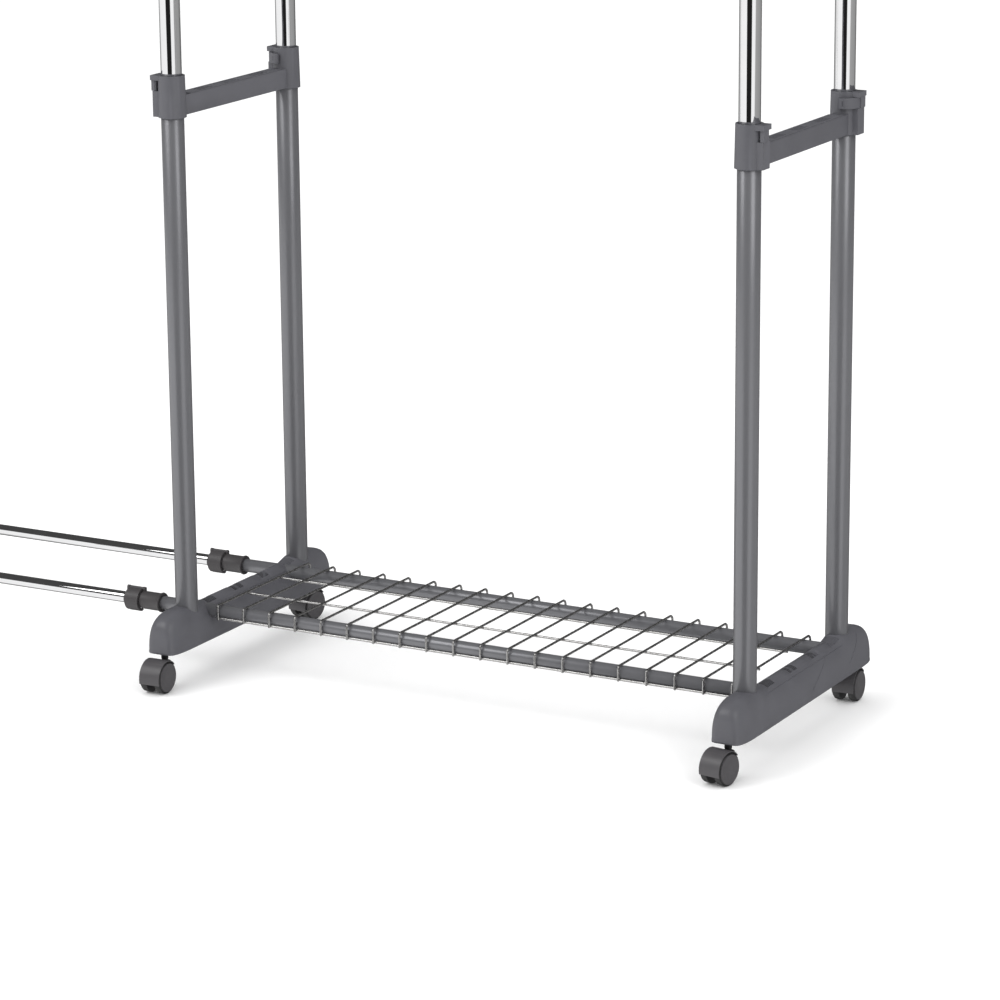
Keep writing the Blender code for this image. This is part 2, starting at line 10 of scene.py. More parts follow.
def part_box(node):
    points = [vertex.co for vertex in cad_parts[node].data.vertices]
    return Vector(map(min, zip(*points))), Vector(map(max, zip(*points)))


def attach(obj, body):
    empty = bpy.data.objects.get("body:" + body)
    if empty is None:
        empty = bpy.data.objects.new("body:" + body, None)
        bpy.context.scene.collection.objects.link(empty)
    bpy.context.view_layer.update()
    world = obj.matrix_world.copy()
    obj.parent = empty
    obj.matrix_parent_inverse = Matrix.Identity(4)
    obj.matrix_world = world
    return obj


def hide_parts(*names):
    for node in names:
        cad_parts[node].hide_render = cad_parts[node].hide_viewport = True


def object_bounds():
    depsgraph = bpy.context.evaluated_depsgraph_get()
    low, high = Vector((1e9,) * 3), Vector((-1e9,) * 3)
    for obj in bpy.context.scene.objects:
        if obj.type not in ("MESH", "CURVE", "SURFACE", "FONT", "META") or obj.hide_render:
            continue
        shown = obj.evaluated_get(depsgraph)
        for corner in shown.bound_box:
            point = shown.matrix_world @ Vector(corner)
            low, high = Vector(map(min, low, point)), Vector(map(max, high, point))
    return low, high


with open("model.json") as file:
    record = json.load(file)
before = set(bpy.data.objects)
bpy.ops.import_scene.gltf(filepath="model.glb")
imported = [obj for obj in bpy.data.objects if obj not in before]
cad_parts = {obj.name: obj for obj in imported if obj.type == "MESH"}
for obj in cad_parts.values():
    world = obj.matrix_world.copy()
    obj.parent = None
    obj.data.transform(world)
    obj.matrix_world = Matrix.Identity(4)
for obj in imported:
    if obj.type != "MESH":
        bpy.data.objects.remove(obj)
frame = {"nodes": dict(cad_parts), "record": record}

CAD_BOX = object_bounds()
RECORD = frame["record"]
BODY_OF = {node: body for body, nodes in RECORD["behaviour"]["bodies"].items() for node in nodes}
JOINT_AT = {joint["name"]: joint for joint in RECORD["behaviour"]["joints"]}

SIDES = {"left": -1, "right": 1}
ROWS = {"front": -1, "back": 1}
MM = 0.001
GAP = 0.3 * MM                  # clearance between pieces that fit together


# ---------------------------------------------------------------- measuring the frame

def middle(node):
    low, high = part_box(node)
    return (Vector(low) + Vector(high)) / 2


def extent(node):
    low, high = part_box(node)
    return Vector(high) - Vector(low)


def upright(row, side):
    """The axis of a lower tube, as (x, y)."""
    point = middle(f"{row}_{side}_lower_tube")
    return point.x, point.y


# ---------------------------------------------------------------- mesh helpers

def link_mesh(name, bm, materials, sharp=30.0):
    bmesh.ops.recalc_face_normals(bm, faces=bm.faces)
    mesh = bpy.data.meshes.new(name)
    bm.to_mesh(mesh)
    bm.free()
    mesh.shade_smooth()
    mesh.set_sharp_from_angle(angle=math.radians(sharp))
    for material in materials:
        mesh.materials.append(material)
    item = bpy.data.objects.new(name, mesh)
    bpy.context.scene.collection.objects.link(item)
    return item


def stand_for(piece, *nodes):
    """The piece takes these CAD nodes' place and rides with them."""
    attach(piece, BODY_OF[nodes[0]])
    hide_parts(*nodes)
    return piece


def bridge(bm, first, second, closed=True):
    count = len(first)
    for i in range(count if closed else count - 1):
        j = (i + 1) % count
        bm.faces.new((first[i], first[j], second[j], second[i]))


def turned(profile, sides=64, ring=False):
    """Turn (radius, height) points about Z; a ring's profile is closed, others are capped."""
    bm = bmesh.new()
    loops = []
    for radius, height in profile:
        loop = []
        for i in range(sides):
            angle = 2 * math.pi * i / sides
            loop.append(bm.verts.new((radius * math.cos(angle), radius * math.sin(angle), height)))
        loops.append(loop)
    for lower, upper in zip(loops, loops[1:]):
        bridge(bm, lower, upper)
    if ring:
        bridge(bm, loops[-1], loops[0])
    else:
        bm.faces.new(loops[0])
        bm.faces.new(loops[-1])
    return bm


def prism(outline, low, high):
    bm = bmesh.new()
    bottom = [bm.verts.new((x, y, low)) for x, y in outline]
    top = [bm.verts.new((x, y, high)) for x, y in outline]
    bm.faces.new(bottom)
    bm.faces.new(top)
    bridge(bm, bottom, top)
    return bm


def block(low, high):
    outline = [(low[0], low[1]), (high[0], low[1]), (high[0], high[1]), (low[0], high[1])]
    return prism(outline, low[2], high[2])


def arc(radius, start, end, steps, centre=(0.0, 0.0)):
    points = []
    for i in range(steps + 1):
        angle = math.radians(start + (end - start) * i / steps)
        points.append((centre[0] + radius * math.cos(angle), centre[1] + radius * math.sin(angle)))
    return points


def moved(bm, matrix):
    bmesh.ops.transform(bm, matrix=matrix, verts=bm.verts)
    return bm


def merged(shapes):
    whole = bmesh.new()
    for shape in shapes:
        mesh = bpy.data.meshes.new("merge_step")
        shape.to_mesh(mesh)
        shape.free()
        whole.from_mesh(mesh)
        bpy.data.meshes.remove(mesh)
    return whole


def at(x=0.0, y=0.0, z=0.0):
    return Matrix.Translation((x, y, z))


def turn(degrees, axis):
    return Matrix.Rotation(math.radians(degrees), 4, axis)


def shaped(item, steps, bevel=0.0, segments=2):
    """Apply a chain of exact unions and cuts to an object, then round its edges."""
    for operation, shape in steps:
        tool = link_mesh("shaping_tool", shape, [])
        modifier = item.modifiers.new(operation, "BOOLEAN")
        modifier.operation = operation
        modifier.solver = "EXACT"
        modifier.object = tool
        bpy.context.view_layer.objects.active = item
        bpy.ops.object.modifier_apply(modifier=modifier.name)
        bpy.data.objects.remove(tool, do_unlink=True)
    item.data.shade_smooth()
    item.data.set_sharp_from_angle(angle=math.radians(30))
    if bevel:
        rounding = item.modifiers.new("rounded_edges", "BEVEL")
        rounding.width = bevel
        rounding.segments = segments
        rounding.limit_method = "ANGLE"
        rounding.angle_limit = math.radians(40)
        rounding.harden_normals = True
    return item


# ---------------------------------------------------------------- materials

NOISE_LOW, NOISE_HIGH = 0.3, 0.7         # most of a noise texture lies between these values


def new_material(name):
    material = bpy.data.materials.new(name)
    material.use_nodes = True
    nodes = material.node_tree.nodes
    return material, nodes, material.node_tree.links, nodes["Principled BSDF"]


def noise_node(nodes, links, coordinates, scale, detail=4.0):
    node = nodes.new("ShaderNodeTexNoise")
    node.inputs["Scale"].default_value = scale
    node.inputs["Detail"].default_value = detail
    links.new(coordinates, node.inputs["Vector"])
    return node.outputs["Fac"]


def ramp_between(nodes, links, source, low, high):
    """Map a 0..1 texture value to the range low..high."""
    node = nodes.new("ShaderNodeMapRange")
    node.inputs["From Min"].default_value = NOISE_LOW
    node.inputs["From Max"].default_value = NOISE_HIGH
    node.inputs["To Min"].default_value = low
    node.inputs["To Max"].default_value = high
    links.new(source, node.inputs["Value"])
    return node.outputs["Result"]


def colour_between(nodes, links, source, low, high):
    node = nodes.new("ShaderNodeMix")
    node.data_type = "RGBA"
    links.new(source, node.inputs["Factor"])
    node.inputs["A"].default_value = (*low, 1.0)
    node.inputs["B"].default_value = (*high, 1.0)
    return node.outputs["Result"]


def bump_chain(nodes, links, shader, layers):
    """Stack bump layers given as (height socket, strength, distance)."""
    previous = None
    for height, strength, distance in layers:
        node = nodes.new("ShaderNodeBump")
        node.inputs["Strength"].default_value = strength
        node.inputs["Distance"].default_value = distance
        links.new(height, node.inputs["Height"])
        if previous is not None:
            links.new(previous, node.inputs["Normal"])
        previous = node.outputs["Normal"]
    links.new(previous, shader.inputs["Normal"])


def object_coordinates(nodes, links, stretch=(1.0, 1.0, 1.0)):
    place = nodes.new("ShaderNodeTexCoord")
    mapping = nodes.new("ShaderNodeMapping")
    mapping.inputs["Scale"].default_value = stretch
    links.new(place.outputs["Object"], mapping.inputs["Vector"])
    return mapping.outputs["Vector"]


def moulded_plastic(name, colour, roughness, grain=0.12):
    """Injection-moulded plastic: fine spark texture, slow mottling and scuffed corners."""
    material, nodes, links, shader = new_material(name)
    place = object_coordinates(nodes, links)
    mottle = noise_node(nodes, links, place, 28.0)
    fine = noise_node(nodes, links, place, 1900.0, 2.0)
    darker = tuple(channel * 0.93 for channel in colour)
    lighter = tuple(channel * 1.07 for channel in colour)
    base = colour_between(nodes, links, ramp_between(nodes, links, mottle, 0.0, 1.0), darker, lighter)
    wear = nodes.new("ShaderNodeMapRange")
    wear.inputs["From Min"].default_value = 0.53
    wear.inputs["From Max"].default_value = 0.62
    wear.inputs["To Max"].default_value = 0.22
    links.new(nodes.new("ShaderNodeNewGeometry").outputs["Pointiness"], wear.inputs["Value"])
    worn = nodes.new("ShaderNodeMix")
    worn.data_type = "RGBA"
    links.new(wear.outputs["Result"], worn.inputs["Factor"])
    links.new(base, worn.inputs["A"])
    worn.inputs["B"].default_value = (*[min(1.0, channel * 1.7) for channel in colour], 1.0)
    links.new(worn.outputs["Result"], shader.inputs["Base Color"])
    uneven = ramp_between(nodes, links, mottle, roughness - 0.05, roughness + 0.06)
    links.new(uneven, shader.inputs["Roughness"])
    shader.inputs["IOR"].default_value = 1.48
    bump_chain(nodes, links, shader, [(fine, grain, 0.0002), (mottle, 0.05, 0.0006)])
    return material


def painted_tube(name, colour):
    """Powder-coated steel tube: satin, with faint orange peel and a metallic flake."""
    material, nodes, links, shader = new_material(name)
    place = object_coordinates(nodes, links)
    peel = noise_node(nodes, links, place, 420.0, 3.0)
    slow = noise_node(nodes, links, place, 12.0, 3.0)
    flake = noise_node(nodes, links, place, 5200.0, 1.0)
    darker = tuple(channel * 0.95 for channel in colour)
    lighter = tuple(channel * 1.06 for channel in colour)
    base = colour_between(nodes, links, ramp_between(nodes, links, flake, 0.0, 1.0), darker, lighter)
    links.new(base, shader.inputs["Base Color"])
    links.new(ramp_between(nodes, links, slow, 0.30, 0.37), shader.inputs["Roughness"])
    shader.inputs["Metallic"].default_value = 0.45
    shader.inputs["Coat Weight"].default_value = 0.25
    shader.inputs["Coat Roughness"].default_value = 0.22
    bump_chain(nodes, links, shader, [(peel, 0.10, 0.0003), (slow, 0.04, 0.0006)])
    return material


def chromed_tube(name):
    """Bright chrome plating: near-mirror, with hairline polishing marks and faint smudges."""
    material, nodes, links, shader = new_material(name)
    place = object_coordinates(nodes, links)
    smudge = noise_node(nodes, links, place, 35.0, 5.0)
    brushed = object_coordinates(nodes, links, (900.0, 900.0, 14.0))
    lines = noise_node(nodes, links, brushed, 1.0, 2.0)
    links.new(ramp_between(nodes, links, smudge, 0.035, 0.085), shader.inputs["Roughness"])
    tint = colour_between(nodes, links, smudge, (0.80, 0.80, 0.81), (0.88, 0.88, 0.885))
    links.new(tint, shader.inputs["Base Color"])
    shader.inputs["Metallic"].default_value = 1.0
    bump_chain(nodes, links, shader, [(lines, 0.012, 0.0001), (smudge, 0.02, 0.0004)])
    return material


def plated_wire(name):
    """Zinc-plated wire: soft metal with dull patches and drawn lines."""
    material, nodes, links, shader = new_material(name)
    place = object_coordinates(nodes, links)
    patches = noise_node(nodes, links, place, 160.0, 4.0)
    fine = noise_node(nodes, links, place, 2600.0, 2.0)
    base = colour_between(nodes, links, ramp_between(nodes, links, patches, 0.0, 1.0),
                          (0.42, 0.41, 0.40), (0.60, 0.595, 0.59))
    links.new(base, shader.inputs["Base Color"])
    links.new(ramp_between(nodes, links, patches, 0.20, 0.34), shader.inputs["Roughness"])
    shader.inputs["Metallic"].default_value = 1.0
    bump_chain(nodes, links, shader, [(fine, 0.02, 0.0001), (patches, 0.03, 0.0002)])
    return material


def dark_steel(name):
    material, nodes, links, shader = new_material(name)
    place = object_coordinates(nodes, links)
    patches = noise_node(nodes, links, place, 240.0, 4.0)
    base = colour_between(nodes, links, patches, (0.020, 0.020, 0.022), (0.055, 0.054, 0.056))
    links.new(base, shader.inputs["Base Color"])
    links.new(ramp_between(nodes, links, patches, 0.32, 0.48), shader.inputs["Roughness"])
    shader.inputs["Metallic"].default_value = 0.7
    bump_chain(nodes, links, shader, [(patches, 0.15, 0.0002)])
    return material


def black_tread(name):
    """Hard black tread, dusty where it rolls."""
    material, nodes, links, shader = new_material(name)
    place = object_coordinates(nodes, links)
    dust = noise_node(nodes, links, place, 210.0, 6.0)
    fine = noise_node(nodes, links, place, 1500.0, 3.0)
    base = colour_between(nodes, links, ramp_between(nodes, links, dust, 0.0, 0.6),
                          (0.010, 0.010, 0.011), (0.034, 0.033, 0.033))
    links.new(base, shader.inputs["Base Color"])
    links.new(ramp_between(nodes, links, dust, 0.42, 0.62), shader.inputs["Roughness"])
    bump_chain(nodes, links, shader, [(fine, 0.20, 0.0002), (dust, 0.08, 0.0003)])
    return material


GREY_PLASTIC = moulded_plastic("rack_grey_plastic", (0.086, 0.086, 0.097), 0.46)
# Near-black plastic for the floors and walls of the foot's vent slots: painted shade inside the slots,
# which are cut in the same grey plastic as the foot.
SLOT_SHADE_PLASTIC = moulded_plastic("rack_vent_slot_painted_shade", (0.020, 0.020, 0.022), 0.58, 0.25)
BROWN_PLASTIC = moulded_plastic("rack_lock_plastic", (0.051, 0.047, 0.049), 0.47)
CASTER_PLASTIC = moulded_plastic("rack_caster_plastic", (0.062, 0.059, 0.063), 0.42)
GREY_PAINT = painted_tube("rack_grey_paint", (0.168, 0.169, 0.180))
CHROME = chromed_tube("rack_chrome")
WIRE_METAL = plated_wire("rack_wire_metal")
STEEL = dark_steel("rack_dark_steel")
TREAD = black_tread("rack_black_tread")


# ---------------------------------------------------------------- tubes

def make_tube(node, along, wall, material):
    """A fine tube with rounded lips in place of a CAD tube lying along an axis."""
    size = extent(node)
    length = size["XYZ".index(along)]
    radius = min(size) / 2
    inner = radius - wall
    lip = wall * 0.4
    half = length / 2
    profile = [(radius - lip, -half), (radius, lip - half), (radius, half - lip), (radius - lip, half)]
    profile += [(inner + lip, half), (inner, half - lip), (inner, lip - half), (inner + lip, -half)]
    shape = turned(profile, ring=True)
    if along == "X":
        moved(shape, turn(90, "Y"))
    piece = link_mesh(node + "_fine", moved(shape, at(*middle(node))), [material], 50)
    return stand_for(piece, node)


LOWER_TUBE_WALL, UPPER_TUBE_WALL = 0.9 * MM, 1.0 * MM
RAIL_WALL, ROD_WALL = 1.0 * MM, 0.9 * MM


def make_tubes():
    for row in ROWS:
        for side in SIDES:
            make_tube(f"{row}_{side}_lower_tube", "Z", LOWER_TUBE_WALL, GREY_PAINT)
            make_tube(f"{row}_{side}_upper_tube", "Z", UPPER_TUBE_WALL, CHROME)
        make_tube(f"{row}_hanging_rail", "X", RAIL_WALL, CHROME)
        make_tube(f"{row}_bottom_rail", "X", RAIL_WALL, GREY_PAINT)
        make_tube(f"{row}_extension_rod", "X", ROD_WALL, CHROME)


# ---------------------------------------------------------------- feet

FOOT_WALL = 2.5 * MM
FOOT_END = 40 * MM
FOOT_LIP = 1.2 * MM             # how far the lip hangs below the arch
FOOT_RIDGE = 44.2 * MM          # height of the arch between the uprights
FOOT_SWELL = 4.5 * MM           # extra height beyond the uprights
RIM_OUT = 0.25 * MM             # how far the rim stands out from the flank
RIM_TOP, FLANK_BOTTOM = 1.2 * MM, 1.6 * MM
NOSE_POWER, TAIL_POWER = 0.30, 0.28      # the smaller, the squarer
FLANK_POWER, POST_POWER, RIDGE_POWER = 1.75, 3.0, 2.6
POST_SPREAD = 0.022             # how far the swelling round an upright reaches
END_DROP = 0.75                 # how much of the height follows the rounding of the ends
VENT_PLACES = (-82 * MM, -18 * MM, 44 * MM, 104 * MM)
VENT_LENGTH, VENT_SLOTS, SLOT_PITCH = 23 * MM, 7, 3.0 * MM
VENT_REACH, SLOT_REACH = 9.0 * MM, 8.4 * MM
PATCH_DEPTH, SLOT_DEPTH, SLOT_HALF = 0.45 * MM, 1.7 * MM, 0.8 * MM
PATCH_SHOULDER, SLOT_SHOULDERS = 0.3 * MM, (0.95 * MM, 0.65 * MM)
CREASE_DEPTH, CREASE_LOW, CREASE_HIGH = 0.45 * MM, 51, 53.5
DETAIL_END = 112 * MM           # the vents and the crease lie within this distance of the middle
END_ANGLES = (89, 86, 82, 77, 71, 64, 56, 47, 38, 29, 20, 10)


def foot_stations(half_length):
    """Distances along the foot, close together where the surface has detail."""
    straight = half_length - FOOT_END
    stations = [straight + FOOT_END * math.sin(math.radians(a)) for a in END_ANGLES]
    stations += [straight - step * 4 * MM for step in range(12)]
    stations = [y for y in stations if y > DETAIL_END]
    stations += [-y for y in stations]
    for place in VENT_PLACES:
        edge = VENT_LENGTH / 2
        for offset in (edge + PATCH_SHOULDER, edge - PATCH_SHOULDER):
            stations += [place - offset, place + offset]
        for slot in range(VENT_SLOTS):
            centre = place + (slot - (VENT_SLOTS - 1) / 2) * SLOT_PITCH
            for offset in SLOT_SHOULDERS:
                stations += [centre - offset, centre + offset]
    stations += [-70 * MM, -58 * MM, -50 * MM, -12 * MM, 0, 12 * MM, 50 * MM, 58 * MM, 70 * MM]
    return sorted(set(round(y, 6) for y in stations))


FOOT_ANGLES = (0, 3, 8, 14, 20, 27, 34, 41, 46, 50.5, 51.5, 53, 54,
               57, 60.4, 61.6, 64.3, 65.5, 70, 76, 83, 90)


def foot_surface(y, degrees, half_length, half_width):
    """A point of the arch at a distance along the foot, relative to the foot's middle and bottom."""
    near_post = math.exp(-((abs(y) - POST_OFFSET) / POST_SPREAD) ** 2)
    beyond = 1.0 if abs(y) > POST_OFFSET else near_post
    straight = half_length - FOOT_END
    along = min(1.0, max(0.0, abs(y) - straight) / FOOT_END)
    scale = max(1e-3, math.sqrt(1 - along * along)) ** (TAIL_POWER if y > 0 else NOSE_POWER)
    power = FLANK_POWER + (POST_POWER - FLANK_POWER) * beyond
    height = FOOT_RIDGE + FOOT_SWELL * beyond
    angle = math.radians(degrees)
    across = math.copysign(abs(math.cos(angle)) ** (2 / power), math.cos(angle))
    up = max(0.0, math.sin(angle)) ** (2 / RIDGE_POWER)
    rise = height * ((1 - END_DROP) * scale + END_DROP * scale ** 1.2) * up
    return Vector((half_width * scale * across, y, rise))


def vent_depth(y, x):
    """How deep the louvre patches are cut at a point of the ridge."""
    depth = 0.0
    for place in VENT_PLACES:
        if abs(y - place) < VENT_LENGTH / 2 and abs(x) < VENT_REACH:
            depth = PATCH_DEPTH
            offset = (y - place) / SLOT_PITCH + (VENT_SLOTS - 1) / 2
            slot = round(offset)
            near = abs(offset - slot) * SLOT_PITCH
            if 0 <= slot < VENT_SLOTS and near < SLOT_HALF and abs(x) < SLOT_REACH:
                depth = SLOT_DEPTH
    return depth


def crease_depth(y, degrees):
    """The line along each flank where the ridge strip meets it."""
    folded = min(degrees, 180 - degrees)
    if abs(y) < DETAIL_END and CREASE_LOW < folded < CREASE_HIGH:
        return CREASE_DEPTH
    return 0.0


def make_foot(side):
    node = f"{side}_foot"
    low, high = (Vector(corner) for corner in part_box(node))
    centre = (low + high) / 2
    bottom = low.z + FOOT_LIP
    half_length = (high.y - low.y) / 2
    half_width = (high.x - low.x) / 2 - RIM_OUT
    angles = list(FOOT_ANGLES) + [180 - a for a in reversed(FOOT_ANGLES[:-1])]
    bm = bmesh.new()
    loops = []
    for y in foot_stations(half_length):
        loop = []
        for degrees in angles:
            point = foot_surface(y, degrees, half_length, half_width)
            ahead = foot_surface(y + 0.1 * MM, degrees, half_length, half_width)
            beside = foot_surface(y, degrees + 0.5, half_length, half_width)
            normal = (beside - point).cross(ahead - point).normalized()
            if normal.dot(Vector((point.x, 0, 0.01))) < 0:
                normal.negate()
            depth = vent_depth(y, point.x) + crease_depth(y, degrees)
            loop.append(bm.verts.new(point - normal * depth))
        for index, end in ((0, 1), (-1, -1)):
            rim = loop[index].co
            out = RIM_OUT * end
            low_rim = bm.verts.new((rim.x + out, y, -FOOT_LIP))
            high_rim = bm.verts.new((rim.x + out, y, RIM_TOP))
            loop[index].co = (rim.x, y, FLANK_BOTTOM)
            loop = [low_rim, high_rim] + loop if index == 0 else loop + [high_rim, low_rim]
        loops.append(loop)
    for first, second in zip(loops, loops[1:]):
        bridge(bm, first, second, closed=False)
    for loop in (loops[0], loops[-1]):
        bm.faces.new(loop)
    bm.normal_update()
    for face in bm.faces:
        spot = face.calc_center_median()
        # Faces deep in the vent slots take the near-black painted shade material.
        if vent_depth(spot.y, spot.x) > PATCH_DEPTH and spot.z > 0.6 * FOOT_RIDGE:
            face.material_index = 1
    piece = link_mesh(node + "_shell", bm, [GREY_PLASTIC, SLOT_SHADE_PLASTIC], 38)
    piece.location = (centre.x, centre.y, bottom)
    wall = piece.modifiers.new("wall", "SOLIDIFY")
    wall.thickness = FOOT_WALL
    wall.offset = -1.0
    wall.material_offset_rim = 0
    stand_for(piece, node)
    make_flank_arcs(side, half_length, half_width, (centre.x, centre.y, bottom))
    for row in ROWS:
        make_foot_sockets(row, side, bottom)


ARC_RADIUS, ARC_STEPS = 0.45 * MM, 24
# Three points of each embossed arc: distance along the foot, and degrees up the outer flank.
FLANK_ARCS = (
    ((0.152, 58), (0.146, 34), (0.118, 12)),
    ((0.062, 52), (0.050, 34), (0.010, 10)),
)


def make_flank_arcs(side, half_length, half_width, place):
    """The fine raised arcs on the outer flank, half sunk in the shell."""
    paths = []
    for first, second, third in FLANK_ARCS:
        path = []
        for step in range(ARC_STEPS + 1):
            t = step / ARC_STEPS
            weights = ((1 - t) ** 2, 2 * t * (1 - t), t * t)
            y = sum(w * point[0] for w, point in zip(weights, (first, second, third)))
            degrees = sum(w * point[1] for w, point in zip(weights, (first, second, third)))
            spot = foot_surface(y, degrees, half_length, half_width)
            path.append((place[0] + SIDES[side] * spot.x, place[1] + spot.y, place[2] + spot.z))
        paths.append(path)
    arcs = wire_curve(f"{side}_foot_flank_arcs", paths, ARC_RADIUS, GREY_PLASTIC)
    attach(arcs, BODY_OF[f"{side}_foot"])


CUP_WALL, CUP_FLOOR, CUP_RISE = 2 * MM, 4 * MM, 10 * MM
SLEEVE_RISE = 18 * MM
RIB_FROM_STEM = 16 * MM


def make_foot_sockets(row, side, bottom):
    """The sockets inside the foot: one for the lower tube and one for the caster's stem."""
    x, y = upright(row, side)
    tube_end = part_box(f"{row}_{side}_lower_tube")[0][2]
    radius = extent(f"{row}_{side}_lower_tube").x / 2
    outside, cup_bottom, cup_top = radius + CUP_WALL, tube_end - CUP_FLOOR, tube_end + CUP_RISE
    cup = [(0.5 * MM, cup_bottom), (outside, cup_bottom), (outside, cup_top), (radius + GAP, cup_top)]
    cup += [(radius + GAP, tube_end - 1 * MM), (0.5 * MM, tube_end - 1 * MM)]
    stem = middle(f"{row}_{side}_caster_stem")
    stem_radius = extent(f"{row}_{side}_caster_stem").x / 2
    sleeve_top = bottom + SLEEVE_RISE
    sleeve = [(stem_radius + GAP, bottom), (stem_radius + 1.4 * MM, bottom)]
    sleeve += [(stem_radius + 1.7 * MM, sleeve_top), (stem_radius + GAP, sleeve_top)]
    shapes = [moved(turned(cup, 48, ring=True), at(x, y))]
    shapes.append(moved(turned(sleeve, 32, ring=True), at(stem.x, stem.y)))
    for across in range(2):
        rib = block((-0.9 * MM, -9 * MM, bottom + 4 * MM), (0.9 * MM, 9 * MM, bottom + 26 * MM))
        shapes.append(moved(rib, at(stem.x, stem.y - ROWS[row] * RIB_FROM_STEM) @ turn(90 * across, "Z")))
    sockets = link_mesh(f"{row}_{side}_foot_sockets", merged(shapes), [GREY_PLASTIC])
    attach(sockets, BODY_OF[f"{side}_foot"])


# ---------------------------------------------------------------- end braces and their levers

BAR_DROP, BAR_HALF, BAR_OUT = 4 * MM, 9.8 * MM, 1.2 * MM
PAD_HALF_LENGTH, PAD_HALF_WIDTH, PAD_RISE = 104 * MM, 9 * MM, 0.8 * MM
COLLAR_LOW, COLLAR_HIGH = 17.2 * MM, 16.2 * MM
SEAT_FRONT, SEAT_OUT, SEAT_BACK = -10 * MM, 21.5 * MM, 8.5 * MM
LIP_FRONT, LIP_OUT = -12 * MM, 23.2 * MM
PIN_BELOW, PIN_ABOVE = 5 * MM, 6 * MM    # how far the hinge pin runs past its lever
PATCH_PITCH, PATCH_HALF, CUT_PITCH, CUT_WIDTH = 62 * MM, 6.2 * MM, 3.4 * MM, 2.3 * MM
LEVER_OUT, LEVER_IN = 21.8 * MM, 17.8 * MM
HEEL_IN, HEEL_OUT = 18.6 * MM, 22.8 * MM


def corner_frame(row, side):
    """Places a shape drawn for the right frame's front corner at another corner."""
    x, y = upright(row, side)
    return at(x, y) @ Matrix.Diagonal((SIDES[side], -ROWS[row], 1, 1))


def make_brace(side):
    node = f"{side}_brace"
    low, high = (Vector(corner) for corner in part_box(node))
    x = upright("front", side)[0]
    front, back = upright("front", side)[1], upright("back", side)[1]
    tube_radius = extent(f"front_{side}_lower_tube").x / 2
    mast_radius = extent(f"front_{side}_upper_tube").x / 2
    tube_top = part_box(f"front_{side}_lower_tube")[1][2]
    bar_top = tube_top - BAR_DROP
    bar_x = x + SIDES[side] * BAR_OUT
    middle_y = (front + back) / 2
    lever_low, lever_high = (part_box(f"front_{side}_height_lever")[i][2] for i in (0, 1))
    lever_low += PIN_BELOW
    lever_high -= PIN_ABOVE
    bar_low = (bar_x - BAR_HALF, front + 8 * MM, low.z + 0.9 * MM)
    bar = block(bar_low, (bar_x + BAR_HALF, back - 8 * MM, bar_top))
    brace = link_mesh(node + "_fine", bar, [GREY_PLASTIC])
    pad_low = (bar_x - PAD_HALF_WIDTH, middle_y - PAD_HALF_LENGTH, bar_top - 2 * MM)
    pad_high = (bar_x + PAD_HALF_WIDTH, middle_y + PAD_HALF_LENGTH, bar_top + PAD_RISE)
    steps = [("UNION", block(pad_low, pad_high))]
    for row in ROWS:
        place = corner_frame(row, side)
        collar = turned([(COLLAR_LOW, low.z), (COLLAR_HIGH, high.z)], 72)
        steps.append(("UNION", moved(collar, place)))
        seat_low = (6 * MM, SEAT_FRONT, low.z + 0.2 * MM)
        seat = block(seat_low, (SEAT_OUT, SEAT_BACK, lever_low - GAP))
        lip_low = (4 * MM, LIP_FRONT, lever_high + GAP)
        lip = block(lip_low, (LIP_OUT, SEAT_BACK, high.z - 0.1 * MM))
        steps.append(("UNION", moved(seat, place)))
        steps.append(("UNION", moved(lip, place)))
    for row in ROWS:
        place = corner_frame(row, side)
        bore = turned([(tube_radius + GAP, low.z - 9 * MM), (tube_radius + GAP, tube_top + GAP)], 72)
        throat = turned([(mast_radius + GAP, tube_top - 2 * MM), (mast_radius + GAP, high.z + 9 * MM)], 72)
        steps.append(("DIFFERENCE", moved(bore, place)))
        steps.append(("DIFFERENCE", moved(throat, place)))
    steps.append(("DIFFERENCE", brace_patches(bar_x, middle_y, bar_top + PAD_RISE)))
    shaped(brace, steps, 0.6 * MM)
    stand_for(brace, node)


def brace_patches(x, y, top):
    """Three shallow ribbed patches along the top of the bar."""
    cuts = []
    for patch in (-1, 0, 1):
        centre = y + patch * PATCH_PITCH
        for slot in range(9):
            start = centre + (slot - 4.5) * CUT_PITCH
            cut_low = (x - PATCH_HALF, start, top - 0.6 * MM)
            cuts.append(block(cut_low, (x + PATCH_HALF, start + CUT_WIDTH, top + 2 * MM)))
    return merged(cuts)


